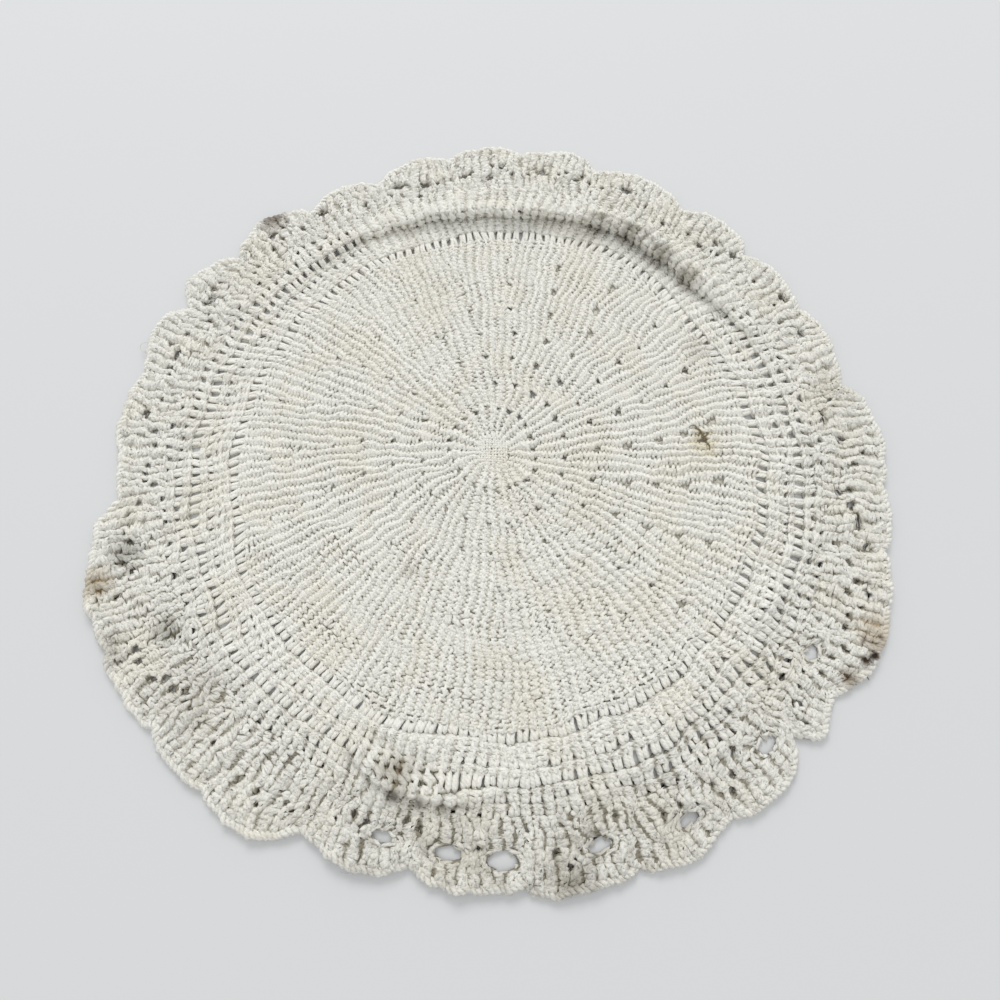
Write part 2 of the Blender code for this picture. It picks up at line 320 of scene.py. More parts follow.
CRUMPLE_RATE = 1.5               # crumples are this much shorter than the waves they are made from
CRUMPLE_HEIGHT = 0.8
DEEPEST_CRUMPLE = 0.0002         # in metres, below the cloth's usual height


def crumple(spots, reach):
    """A smooth rise and fall of the openwork and edging, which lie less flat than the disc."""
    rise = np.zeros(spots.shape[:-1])
    for heading, rate, phase_x, phase_y, size in WAVES[1:6]:
        way = spots[..., 0] * cos(heading + 1) + spots[..., 1] * sin(heading + 1)
        rise += size * CRUMPLE_HEIGHT * np.sin(rate * CRUMPLE_RATE * way + phase_y)
    return np.maximum(rise, -DEEPEST_CRUMPLE) * ease((reach - 0.95) / 0.25)


print(EVEN_WAVES, "waves run all over, and", len(WAVES) - EVEN_WAVES, "more in the edging")


# %% Holes
# bearing_deg, reach in disc radii, and half width across and along the ridges in metres
EYELETS = np.array([
    (21, 1.400, 0.0022, 0.0013), (29, 1.420, 0.0022, 0.0012), (40, 1.390, 0.0026, 0.0014),
    (43.5, 1.400, 0.0032, 0.0015), (46.5, 1.330, 0.0018, 0.0012), (64.5, 1.378, 0.0039, 0.0016),
    (73, 1.350, 0.0014, 0.0010), (80.4, 1.383, 0.0034, 0.0016), (88.8, 1.385, 0.0020, 0.0014),
    (90.8, 1.317, 0.0022, 0.0014), (95.2, 1.346, 0.0029, 0.0016), (104, 1.328, 0.0026, 0.0015),
    (105.5, 1.270, 0.0012, 0.0012), (109.5, 1.331, 0.0037, 0.0017), (124, 1.380, 0.0028, 0.0015),
    (135, 1.400, 0.0028, 0.0015), (150.6, 1.371, 0.0026, 0.0015), (162.4, 1.363, 0.0024, 0.0014),
    (173.8, 1.387, 0.0026, 0.0015), (199, 1.390, 0.0016, 0.0012), (255.3, 1.316, 0.0042, 0.0017),
    (263.7, 1.316, 0.0050, 0.0026), (271.0, 1.324, 0.0060, 0.0031), (284.1, 1.335, 0.0046, 0.0022),
    (297.2, 1.380, 0.0046, 0.0022), (310.9, 1.342, 0.0046, 0.0024), (326.5, 1.319, 0.0040, 0.0021),
    (338.5, 1.446, 0.0011, 0.0010), (345.3, 1.435, 0.0020, 0.0013), (348.0, 1.397, 0.0034, 0.0012),
    (349.8, 1.372, 0.0022, 0.0011), (353.3, 1.335, 0.0022, 0.0011), (359.4, 1.448, 0.0014, 0.0010),
    (1.7, 1.370, 0.0020, 0.0011), (5.6, 1.321, 0.0030, 0.0011),
])
# the same for the small holes on both sides of the seam, and for the snag
SEAM_HOLES = [
    (321.5, 1.334, 0.0008, 0.0013), (320.0, 1.369, 0.0008, 0.0013), (318.3, 1.400, 0.0008, 0.0013),
    (317.0, 1.428, 0.0007, 0.0012), (307.8, 1.310, 0.0007, 0.0012), (306.4, 1.351, 0.0007, 0.0012),
    (304.9, 1.394, 0.0007, 0.0012),
]
SNAG = (3.1, 0.828, 0.0012, 0.0018)
TURNING_HOLE = 0.0009            # half width of the hole at a turn, in metres
TURN_INSET = 0.004               # how far it lies inside the turn, in disc radii
ARC_HOLES = 0.45                 # the share of the edging's ridges that have a hole near the rim
ARC_INSET = (0.10, 0.15)         # how far inside the rim it is, in disc radii
ARC_SIZE = (0.0006, 0.0009)      # its half widths, before they are varied


def turning_holes():
    """The small hole at each turn of the short rows."""
    for ridge in range(RIDGES):
        step = (ridge + FIRST_STEP) % WEDGE_RIDGES
        if step:
            reach = np.array(HUB_REACH + step * STEP_REACH - TURN_INSET)
            bearing = bearing_at(ridge, 0.5, reach)
            size = TURNING_HOLE * rng.uniform(0.2, 1.1) * (0.75 + 0.45 * np.sin(np.radians(bearing)))
            yield (bearing, reach, size, size)


def arc_holes():
    """The small holes between the ridges that follow the rim inside each scallop."""
    for ridge in range(EDGING_RIDGES):
        if rng.uniform() < ARC_HOLES:
            bearing = edging_bearing(ridge, 0.0, np.array(1.4))
            reach = scallop_at(bearing)[2] - rng.uniform(*ARC_INSET)
            wide = ARC_SIZE[0] * rng.uniform(0.6, 1.6)
            yield (bearing, reach, wide, ARC_SIZE[1] * rng.uniform(0.6, 1.5))


def hole_places(holes):
    """Each hole's place on the floor, the way out from the hub there, and its half widths."""
    holes = np.array([[float(value) for value in hole] for hole in holes])
    spots = ground(holes[:, 0], holes[:, 1])
    spots += waver(spots, looseness(holes[:, 0], holes[:, 1]))
    return spots, outward(spots), holes[:, 2], holes[:, 3]


HOLES = list(turning_holes()) + list(arc_holes()) + SEAM_HOLES + [SNAG] + EYELETS.tolist()
HOLE_SPOTS, HOLE_OUT, HOLE_WIDE, HOLE_LONG = hole_places(HOLES)
LARGE_EYELET = 0.0040            # half width of the scallops' large eyelets, or more
IS_SLIT = (HOLE_WIDE > 1.3 * HOLE_LONG) & (HOLE_WIDE < LARGE_EYELET)
print(len(HOLES), "holes, of which", int(IS_SLIT.sum()), "are slits")

# %% Yarn beside a hole
HOLE_MARGIN = 0.0010             # the yarn's middle stays this far outside the opening
SLIT_MARGINS = (0.0010, 0.0006)  # along and across the ridges
SLIT_THINNING = 0.85
PRESSED = 0.0035                 # width of the flat ground round a large eyelet
PUSH_REACH = 2.6                 # the push fades out at this many half widths


def from_holes(spots):
    """How far each spot is from each hole, along and across the ridges."""
    away = spots[:, None, :] - HOLE_SPOTS[None]
    along = (away * HOLE_OUT[None]).sum(axis=2)
    across = away[..., 1] * HOLE_OUT[None, :, 0] - away[..., 0] * HOLE_OUT[None, :, 1]
    return along, across


def in_slits(spots):
    """1 for yarn that crosses a slit, where it sinks and is pulled thin, and 0 for the rest."""
    along, across = from_holes(spots)
    far = np.hypot(along / (HOLE_LONG + SLIT_MARGINS[0]), across / (HOLE_WIDE + SLIT_MARGINS[1]))
    return (ease((1.15 - far) / 0.25) * IS_SLIT).max(axis=1)


def round_eyelets(spots):
    """How far the cloth is pressed thin and flat round the largest eyelets, from 0 to 1."""
    along, across = from_holes(spots)
    far = np.hypot(along / (HOLE_LONG + PRESSED), across / (HOLE_WIDE + PRESSED))
    return (ease((1.3 - far) / 0.5) * (HOLE_WIDE >= LARGE_EYELET)).max(axis=1)


def open_holes(spots, row_line):
    """Moves a row's points aside where it passes a hole, all to the side that its middle line is on."""
    along, across = from_holes(spots)
    line_along, line_across = from_holes(row_line)
    nearest = np.abs(line_along).argmin(axis=0)
    side = np.where(line_across[nearest, np.arange(len(HOLES))] < 0.0, -1.0, 1.0)
    share = np.abs(along) / (HOLE_LONG + HOLE_MARGIN)
    edge = (HOLE_WIDE + HOLE_MARGIN) * np.sqrt(np.maximum(1.0 - share ** 2, 0.0))
    limit = (HOLE_WIDE + HOLE_MARGIN) * PUSH_REACH
    place = across * side
    wanted = np.where(place < 0.0, edge + 0.15 * place, edge + place * (limit - edge) / limit)
    near = (place > -limit) & (place < limit)
    push = (wanted - place) * np.clip((1.4 - share) / 0.4, 0.0, 1.0) * near * side * ~IS_SLIT
    moved = (push[..., None] * np.stack([-HOLE_OUT[:, 1], HOLE_OUT[:, 0]], axis=1)[None]).sum(axis=1)
    return spots + moved


farthest = float(PUSH_REACH * (HOLE_WIDE + HOLE_MARGIN).max())
print("yarn is pushed aside as far as", round(farthest, 4), "metres")

# %% [markdown]
# Garter stitch is one yarn that runs along a row in loops. Each loop leans on the row before it and
# carries the next. Where two rows' loops meet at the front they make a ridge, and where they meet at the
# back they make a furrow. A loop is drawn as a curve: forward with a small swing (which gives it its
# round head), up and down across the row, and in and out of the cloth. In an eyelet the two rows of a
# ridge run straight, side by side, and the gap to the next pair is the hole. A bump map on a sheet is
# lighter, but it has no real holes or shadows, and it shows at the rim. So the yarn is a real tube, and
# four sides are enough for it once they are shaded smooth.

# %% One row of loops
SWINGS = np.radians([-150, -90, -30, 30, 90, 150])   # a loop's six points: its two heads are flat
# in each pair, the first is for the disc and openwork, and the second for the edging
BOWS = (0.15, 0.07)              # how far a loop's sides bow, in stitches
SIDE_FACES = (0.40, 0.0)         # how far forward a loop's sides stand
JITTER = (1.0, 3.2)              # how uneven the loops are
LOOP_HALF_HEIGHTS = (0.42, 0.46, 0.53)  # in ridges, in the disc, the openwork and the edging
RIB_SLANT = 0.16                 # how far a rib's loops lean along the row, in stitches
# in each pair, the first is for a ridge's first row, and the second for its second row
ROW_PLACES = (0.25, 0.75)        # where the row lies across the ridge
ROW_FACES = (1, -1)              # 1 where its heads stand at the front, and -1 at the back
STAGGER = (-0.12, 0.12)          # how far it is shifted along the ridge, in stitches
BAR_STATIONS = np.array([0.0, 0.3, 0.7, 0.97])       # the four points of a row's yarn beside an eyelet
BAR_ENTRY = 0.35                 # half the spread of a ridge's two yarns before they close up


def bar_yarn(cell, row, openness):
    """A row's yarn beside an eyelet: nearly straight, close to the ridge's other row, and thin."""
    half_spread, thinness = (shut + (drawn - shut) * openness
                             for shut, drawn in zip(SHUT_BAR, BAR_CELLS[cell]))
    spread_out = np.array([0.5 * (half_spread + BAR_ENTRY), half_spread, half_spread, half_spread])
    places = 0.5 + (-1 if row == 0 else 1) * spread_out + rng.uniform(-0.03, 0.03)
    pinch = 1.0 - openness
    return (cell + BAR_STATIONS, places, np.array([0.0, 0.4, 0.4, -1.1 * pinch]),
            thinness * np.array([1.0, 1.0, 1.0, 1.0 - 0.3 * pinch]))


def loop_yarn(cell, row):
    """One loop of a row: its two heads, and its sides between them."""
    in_edging = int(cell >= OPENWORK_END)
    wild = JITTER[in_edging]
    lean = SWINGS / (2 * pi) + BOWS[in_edging] * np.sin(2 * SWINGS)
    if DISC_STITCHES < cell < OPENWORK_END:
        lean = lean + RIB_SLANT * np.cos(SWINGS)
    zone = int(cell >= DISC_STITCHES) + in_edging
    size = LOOP_HALF_HEIGHTS[zone] * (1.0 + wild * rng.uniform(-0.05, 0.05))
    if not DISC_STITCHES - 1 <= cell <= OPENWORK_END:
        lean = lean + STAGGER[row]
    stations = cell + 0.5 + lean + wild * rng.uniform(-0.06, 0.06)
    places = ROW_PLACES[row] + size * np.cos(SWINGS) + wild * rng.uniform(-0.04, 0.04)
    facing = ROW_FACES[row] * np.cos(SWINGS)
    heights = np.where(facing > 0.5, 1.0, np.where(facing < -0.5, -1.0, SIDE_FACES[in_edging]))
    heights = heights + wild * rng.uniform(-0.12, 0.12)
    return stations, places, heights, np.full(len(SWINGS), 1.0 + wild * rng.uniform(-0.04, 0.04))


def row_of_loops(cells, row, shut, openness):
    """Stations, places across the ridge, heights and thickness of one row's yarn over a run of cells."""
    pieces = []
    for cell in cells:
        is_bar = cell in BAR_CELLS and (cell == DISC_STITCHES or not shut)
        pieces.append(bar_yarn(cell, row, openness) if is_bar else loop_yarn(cell, row))
    return [np.concatenate(part) for part in zip(*pieces)]


print(len(SWINGS), "points a loop")

# %% Soil and height
MIDDLE_HEIGHT = 0.0018           # of the cloth above its underside
OUTER_DROP = 0.0005              # how much lower the openwork's and the edging's middle is
# bearing_deg, how grey the edging has become there, and the painted shade round the fold's crest, from 0
# for none
SOILING_AND_FOLD_SHADE = np.array([
    (0, 0.45, 0.0), (25, 0.36, 0.4), (45, 0.32, 0.9), (62, 0.26, 0.9), (80, 0.22, 0.65),
    (100, 0.22, 0.55), (120, 0.28, 0.5), (140, 0.36, 0.3), (165, 0.26, 0.0), (205, 0.38, 0.0),
    (235, 0.66, 0.0), (254, 1.10, 1.0), (270, 1.50, 0.0), (290, 1.35, 0.0), (310, 0.75, 0.0),
    (335, 0.58, 0.0),
])
DISC_SOIL_AND_SHADE = 0.16                 # a little grey all over the disc, and painted shade in its hollows


def soil_and_shade_at(bearing, reach):
    """Greying of the yarn: soiling in the edging, painted shade round the fold's crest, and a little of
    both in the disc.
    """
    edging, fold = around(SOILING_AND_FOLD_SHADE, bearing)
    _, crest, inner, _, _ = around(FOLD, bearing)
    on_fold = ease(1.5 - 1.5 * np.abs(reach - crest) / (2.0 * inner))
    disc = DISC_SOIL_AND_SHADE * ease((1.0 - reach) / 0.06)
    return np.maximum(np.maximum(edging * ease((reach - 1.05) / 0.25), fold * on_fold), disc)


def middle_height(bearing, spots, reach):
    """The height of the cloth's middle."""
    drop = OUTER_DROP * ease((reach - 0.97) / 0.08)
    return lift_at(bearing, reach) + crumple(spots, reach) + MIDDLE_HEIGHT - drop


print("most soiled at", int(SOILING_AND_FOLD_SHADE[SOILING_AND_FOLD_SHADE[:, 1].argmax(), 0]), "degrees")

# %% Parts of laying a row
LOOP_DEPTH = 0.00095             # a head's height above or below the cloth's middle, in metres
FULL_DEPTH_GAP = 0.0022          # the gap between rows at which a head has all of that depth
DEPTH_LIMITS = (0.6, 1.2)        # the least and most of that depth, in closer and wider rows
FIRST_GUESS = 1.05               # reach that the search for a row's bearings starts from
OPENWORK_FLATNESS = 0.7          # of the disc's depth
EDGING_FLATNESS = 0.8
YARN_RADIUS = 0.00140
THINNEST_ROW = 0.0010
DISC_FILL = 0.55                 # a row's radius, in gaps between rows
# bearing_deg, and the same for the edging, which is drawn more open in places
EDGING_FILL = np.array([(0, 0.50), (50, 0.57), (120, 0.58), (165, 0.52), (220, 0.53), (270, 0.60),
                        (325, 0.51)])


def find_points(station, across, place_across):
    """The bearings and reaches of points given by their stations and places across a ridge."""
    bearing = place_across(across, np.full_like(station, FIRST_GUESS))
    for _ in range(2):
        reach = reach_at(station, bearing)
        bearing = place_across(across, reach)
    return bearing, reach


def row_spots(row, bearing, reach, place_across):
    """A row's points on the floor, with its waves, and moved aside at the holes."""
    spots = ground(bearing, reach)
    shift = waver(spots, looseness(bearing, reach))
    row_line = ground(place_across(ROW_PLACES[row], reach), reach)
    return open_holes(spots + shift, row_line + shift)


def in_openwork(station):
    """Whether each station lies in the openwork."""
    return (station > DISC_STITCHES) & (station < OPENWORK_END)


def row_rise(station, face, row_gap, shut):
    """How far a row's points stand over the cloth's middle, or under it."""
    rise = face * LOOP_DEPTH * np.clip(row_gap / FULL_DEPTH_GAP, *DEPTH_LIMITS)
    if not shut:
        rise = rise * np.where(in_openwork(station), OPENWORK_FLATNESS, 1.0)
    return rise * np.where(station > OPENWORK_END, EDGING_FLATNESS, 1.0)


def row_radius(station, bearing, row_gap, thickness):
    """How thick a row's yarn is: as thick as its gap to the next row lets it be."""
    fill = around(EDGING_FILL, bearing)[0] if station[-1] > OPENWORK_END + 1 else DISC_FILL
    return thickness * np.clip(row_gap * fill, THINNEST_ROW, YARN_RADIUS)


def lean_with_cloth(spots, rise, bearing, reach):
    """Tips the row over with the cloth's slope, and moves it in with the fold's lean."""
    tilt = tilt_at(bearing, reach)
    lean = rise * np.sin(tilt) + fold_at(bearing, reach)[1]
    return spots - outward(spots) * lean[:, None], rise * np.cos(tilt)


print("yarn as thick as", 2 * YARN_RADIUS, "metres")

# %% Lay a row on the doily
ROW_MIDDLE = 1.15                # reach at which a row is asked whether its eyelets are open
SHUT_SWELLING = 1.12             # the yarn looks thicker where the openwork is pressed shut
PRESSED_SHARES = (0.4, 0.5, 0.25)  # what a large eyelet takes from the cloth's height, depth and yarn


def lay_row(cells, row, place_across):
    """One row's yarn on the doily: its points, and for each its radius, depth in the cloth, and soiling
    and painted shade.
    """
    middle = place_across(0.5, np.array(ROW_MIDDLE))
    shut = around(FOLD, middle)[0] > CLOSED_FOLD
    openness = float(around(OPENNESS, middle)[0])
    station, across, face, thickness = row_of_loops(cells, row, shut, openness)
    bearing, reach = find_points(station, across, place_across)
    pitch = np.radians(place_across(1.0, reach) - place_across(0.0, reach))
    row_gap = pitch * reach * DISC_RADIUS / 2
    radius = row_radius(station, bearing, row_gap, thickness)
    spots = row_spots(row, bearing, reach, place_across)
    base = middle_height(bearing, spots, reach)
    rise = row_rise(station, face, row_gap, shut)
    flat = round_eyelets(spots)
    base, rise, radius = (value * (1.0 - share * flat)
                          for value, share in zip((base, rise, radius), PRESSED_SHARES))
    if shut:
        radius = np.where(in_openwork(station), radius * SHUT_SWELLING, radius)
    spots, rise = lean_with_cloth(spots, rise, bearing, reach)
    sunk = in_slits(spots)
    radius = radius * (1.0 - SLIT_THINNING * sunk)
    height = (base + rise) * (1.0 - sunk)
    # yarn sunk in a slit gets the deepest depth, so the finish paints it with the hollows' shade
    face = face * (1.0 - sunk) - sunk
    points = np.column_stack([spots, np.maximum(height, radius)])
    return points, radius, face, soil_and_shade_at(bearing, reach)


print("a row has up to", OPENWORK_END, "cells inside the edging, and", EDGING_STITCHES, "in it")

# %% Yarn as a tube
TUBE_SIDES = 4
TWIST_PITCH = 0.0035             # length of one turn of the yarn's plies


def place(name, mesh):
    """An object for a finished mesh, at the origin."""
    mesh.name = name
    mesh.shade_smooth()
    piece = bpy.data.objects.new(name, mesh)
    bpy.context.scene.collection.objects.link(piece)
    return piece


def yarn_tube(name, runs):
    """A mesh tube along each run of points, with a UV map that follows the yarn."""
    curve = bpy.data.curves.new(name, "CURVE")
    curve.dimensions = "3D"
    curve.bevel_depth = 1.0
    curve.bevel_resolution = 0
    curve.use_fill_caps = False
    for points, radius, _, _ in runs:
        spline = curve.splines.new("POLY")
        spline.points.add(len(points) - 1)
        four = np.column_stack([points, np.ones(len(points))])
        spline.points.foreach_set("co", four.ravel())
        spline.points.foreach_set("radius", radius)
    guide = bpy.data.objects.new(name, curve)
    bpy.context.scene.collection.objects.link(guide)
    mesh = bpy.data.meshes.new_from_object(guide.evaluated_get(bpy.context.evaluated_depsgraph_get()))
    bpy.data.objects.remove(guide, do_unlink=True)
    bpy.data.curves.remove(curve)
    map_along_yarn(mesh, runs)
    return place(name, mesh)


def map_along_yarn(mesh, runs):
    """U runs along the yarn in turns of its twist, V round it, and attributes keep depth, soiling and
    painted shade.
    """
    lengths = [np.append(0.0, np.cumsum(np.linalg.norm(np.diff(run[0], axis=0), axis=1)))
               for run in runs]
    along = np.concatenate(lengths) / TWIST_PITCH
    corner = np.empty(len(mesh.loops), np.int32)
    mesh.loops.foreach_get("vertex_index", corner)
    ring, side = corner // TUBE_SIDES, corner % TUBE_SIDES
    sides = side.reshape(-1, 4).astype(float)
    wraps = (sides.max(axis=1) == TUBE_SIDES - 1) & (sides.min(axis=1) == 0)
    sides[wraps] = np.where(sides[wraps] == 0, TUBE_SIDES, sides[wraps])
    uv = np.column_stack([along[ring], sides.ravel() / TUBE_SIDES])
    mesh.uv_layers.new(name="yarn").uv.foreach_set("vector", uv.ravel())
    for name, number in (("depth", 2), ("soil_and_shade", 3)):
        values = np.repeat(np.concatenate([run[number] for run in runs]), TUBE_SIDES)
        mesh.attributes.new(name, "FLOAT", "POINT").data.foreach_set("value", values)


print("a tube has", TUBE_SIDES, "sides, and its plies turn once in", TWIST_PITCH, "metres")

# %% Knit the cloth in sectors
SECTORS = 13


def knit_run(lays):
    """One length of yarn through a list of ridges, with a turn at the rim and at each inner end."""
    parts = [], [], [], []
    for first_row, second_row in lays:
        for part, there, back in zip(parts, first_row, second_row):
            part += [there[::-1], back]
    return tuple(np.concatenate(part) for part in parts)


def lay_ridge(cells, place_across):
    """The two rows of a ridge."""
    return lay_row(cells, 0, place_across), lay_row(cells, 1, place_across)


def knit_sector(number):
    """A thirteenth of the disc and openwork, and a thirteenth of the edging, as one mesh."""
    first, end = (RIDGES * edge // SECTORS for edge in (number, number + 1))
    inner = [lay_ridge(range(start_station(ridge), OPENWORK_END), partial(bearing_at, ridge))
             for ridge in range(first, end)]
    first, end = (EDGING_RIDGES * edge // SECTORS for edge in (number, number + 1))
    outer = [lay_ridge(range(OPENWORK_END, LAST_STATION), partial(edging_bearing, ridge))
             for ridge in range(first, end)]
    return yarn_tube(f"knit_{number + 1:02d}", [knit_run(inner), knit_run(outer)])


knitting = [knit_sector(number) for number in range(SECTORS)]
print(SECTORS, "sectors with", 2 * sum(len(piece.data.polygons) for piece in knitting), "triangles")

# %% [markdown]
# The rim is a bound-off chain: two strands that wind round each other along the edge, one link for each
# ridge or so. At the hub the last stitches are drawn together and closed by darning, a few threads laid
# side by side and crossed by a few more. An Array of links on a curve would make the rim too, but its
# links would all be alike. Both are the same yarn as the rest, so both are drawn as tubes of it.

# %% The bound-off rim
CHAIN_LINK = 0.0046              # length of one turn of the two strands, in metres
CHAIN_STEPS = 8                  # points in a turn
CHAIN_SWING = 0.0010
CHAIN_RISE = 0.0007
CHAIN_RADIUS = 0.00125
CHAIN_IN = 0.016                 # how far inside the outline the chain's middle lies, in disc radii


def rim_line():
    """Evenly spaced bearings and reaches along the rim, from one side of the seam to the other."""
    bearing = np.linspace(SEAM_DEG + 0.05, SEAM_DEG + 359.95, 9000)
    reach = scallop_at(bearing)[2] - CHAIN_IN
    spots = ground(bearing, reach)
    length = np.append(0.0, np.cumsum(np.linalg.norm(np.diff(spots, axis=0), axis=1)))
    count = int(length[-1] / CHAIN_LINK * CHAIN_STEPS)
    even = np.linspace(0.0, length[-1], count)
    return np.interp(even, length, bearing), np.interp(even, length, reach), even


def rim_chain():
    """The chain's two strands."""
    bearing, reach, even = rim_line()
    spots = ground(bearing, reach)
    base = middle_height(bearing, spots, reach)
    spots = spots + waver(spots, looseness(bearing, reach))
    way = np.gradient(spots, axis=0)
    side = np.column_stack([way[:, 1], -way[:, 0]]) / np.linalg.norm(way, axis=1)[:, None]
    runs = []
    for turn in (0.0, pi):
        phase = 2 * pi * even / CHAIN_LINK + turn + 0.5 * np.sin(even * 90)
        swing = CHAIN_SWING * np.sin(phase) * (1 + 0.2 * np.sin(even * 310 + turn))
        radius = CHAIN_RADIUS * (1.0 + 0.12 * np.sin(even * 170 + turn))
        height = base + CHAIN_RISE * np.cos(phase)
        points = np.column_stack([spots + side * swing[:, None], np.maximum(height, radius)])
        runs.append((points, radius, 0.6 + 0.4 * np.cos(phase), soil_and_shade_at(bearing, reach)))
    return yarn_tube("rim_chain", runs)


edges = [rim_chain()]
print("rim", round(float(rim_line()[2][-1]), 3), "metres long,", len(edges[0].data.polygons), "faces")

# %% The darned hub
DARN_HALF = 0.0085               # half the length of the middle thread, in metres
DARN_GAP = 0.0014
DARN_RADIUS = 0.00068
DARN_HEIGHT = 0.0025             # of the threads' middles over the floor
DARN_END_DROP = 0.0012           # how far a thread's ends sink into the knitting
DARN_WEAVE = 0.00045             # how far a thread rises and falls over the others
DARN_THREADS = 5                 # on each side of the middle one
DARN_POINTS = 29


def darn_thread(number, upright):
    """One thread of the darn: over and under the threads that cross it, and down at its two ends."""
    along = np.linspace(-1.0, 1.0, DARN_POINTS)
    offset = number * DARN_GAP + rng.uniform(-0.0002, 0.0002)
    reach = DARN_HALF * (1.0 - 0.35 * (offset / DARN_HALF) ** 2) * rng.uniform(0.92, 1.05)
    bend = 0.0003 * np.sin(along * 2.5 + number)
    line = np.column_stack([np.full(DARN_POINTS, offset) + bend, along * reach])
    if not upright:
        line = line[:, ::-1]
    weave = (1 if upright else -1) * DARN_WEAVE * np.cos(pi * (along * reach / DARN_GAP + number))
    height = DARN_HEIGHT + weave - DARN_END_DROP * np.abs(along) ** 6
    points = np.column_stack([HUB + line, height])
    steady = np.full(DARN_POINTS, 1.0)
    return points, steady * DARN_RADIUS, weave / DARN_WEAVE, steady * 0.0


def hub_darn():
    """The darn's uprights, and the threads that cross them."""
    numbers = range(-DARN_THREADS, DARN_THREADS + 1)
    runs = [darn_thread(number, upright) for upright in (True, False) for number in numbers]
    return yarn_tube("hub_darn", runs)


edges.append(hub_darn())
print("hub darn", len(edges[1].data.polygons), "faces")

# %% [markdown]
# Between the loops a real doily is closed by the yarn's own fluff. Hairs on every loop would be true to
# life, but it would take millions, and they only show in the furrows. So a thin sheet inside the
# knitting stands for them. It is a flat grid, four strips for each ridge, bent round as the knitting
# is. The cells at the eyelets and the other holes are deleted, and then the sheet is given its
# thickness.

# %% The fluff inside the knitting
SHEET_THICKNESS = 0.0004
SHEET_DROP = 0.0011              # from the cloth's middle to the sheet's underside
CUT_MARGIN = 0.0007
SHEET_PLACES = np.array([0.0, 0.17, 0.5, 0.83])      # where its lines lie across a ridge
TURN_STATIONS = np.sort(np.append(np.arange(3.2, 32, 4), np.arange(4.3, 32, 4)))
SHEET_STATIONS = np.concatenate([[-2.0], TURN_STATIONS, BAND_STATIONS, np.arange(43.2, 55, 1.2)])
COLUMNS = RIDGES * len(SHEET_PLACES)
SHEET_ROWS = len(SHEET_STATIONS) - 1


def sheet_lie():
    """Every grid point's place on the floor, and its height."""
    station = np.tile(SHEET_STATIONS, (COLUMNS + 1, 1))
    column = np.arange(COLUMNS + 1)
    lines = column // len(SHEET_PLACES) + SHEET_PLACES[column % len(SHEET_PLACES)]
    plain = np.repeat((SEAM_DEG + lines * RIDGE_DEG)[:, None], SHEET_ROWS + 1, axis=1)
    bearing = plain
    for _ in range(3):
        reach = reach_at(station, bearing)
        bearing = plain + spread(plain, reach)
    spots = ground(bearing, reach)
    height = middle_height(bearing, spots, reach) - SHEET_DROP
    lean = outward(spots) * fold_at(bearing, reach)[1][..., None]
    return spots - lean + waver(spots, looseness(bearing, reach)), height, soil_and_shade_at(bearing, reach)


def is_open(column, row, middle):
    """Whether a cell is a hole: between two ridges at a ring of eyelets, or in a hole of the list."""
    station = SHEET_STATIONS[row]
    fold = around(FOLD, SEAM_DEG + column / len(SHEET_PLACES) * RIDGE_DEG)[0]
    between = column % len(SHEET_PLACES) in (0, 3)
    if station in BAR_CELLS and between and (station == DISC_STITCHES or fold < CLOSED_FOLD):
        return True
    along, across = from_holes(middle[None])
    return (np.hypot(along / (HOLE_LONG + CUT_MARGIN), across / (HOLE_WIDE + CUT_MARGIN)) < 1.0).any()


def fluff_sheet():
    """The thin closed sheet."""
    bm = bmesh.new()
    bmesh.ops.create_grid(bm, x_segments=COLUMNS, y_segments=SHEET_ROWS, size=0.5)
    dirt_and_shade = bm.verts.layers.float.new("soil_and_shade")
    grid = {vert: (round((vert.co.x + 0.5) * COLUMNS), round((vert.co.y + 0.5) * SHEET_ROWS))
            for vert in bm.verts}
    spots, height, soil_and_shade = sheet_lie()
    doomed = []
    for face in bm.faces:
        column, row = (min(grid[vert][axis] for vert in face.verts) for axis in (0, 1))
        middle = spots[column:column + 2, row:row + 2].reshape(-1, 2).mean(axis=0)
        if is_open(column, row, middle):
            doomed.append(face)
    for vert, (column, row) in grid.items():
        vert.co = (*spots[column, row], height[column, row])
        vert[dirt_and_shade] = soil_and_shade[column, row]
    bmesh.ops.delete(bm, geom=doomed, context="FACES")
    bmesh.ops.remove_doubles(bm, verts=bm.verts, dist=0.00001)
    area = sum(face.calc_area() for face in bm.faces)
    upper = bmesh.ops.extrude_face_region(bm, geom=list(bm.faces), use_keep_orig=True)["geom"]
    for vert in upper:
        if isinstance(vert, bmesh.types.BMVert):
            vert.co.z += SHEET_THICKNESS
    bmesh.ops.recalc_face_normals(bm, faces=bm.faces)
    mesh = bpy.data.meshes.new("fluff_sheet")
    bm.to_mesh(mesh)
    bm.free()
    return place("fluff_sheet", mesh), area


fluff, cloth_area = fluff_sheet()
print("cloth area", round(cloth_area, 4), "square metres,", len(fluff.data.polygons), "faces")

# %% [markdown]
# The doily is old. A thread has snagged and broken in the disc, ends have come loose beside the seam's
# notch, fine loops stand off the rim, and short hairs stand on the worn part of the fold. A hair system
# could grow them, but only at random. Each end here is a curve with a place, a heading and a curl, so
# one function draws them all, as thin tubes of yarn.

# %% Loose ends
THREAD_POINTS = 14
THREAD_TAPER = 0.75              # how much thinner a thread is at its tip, as a share


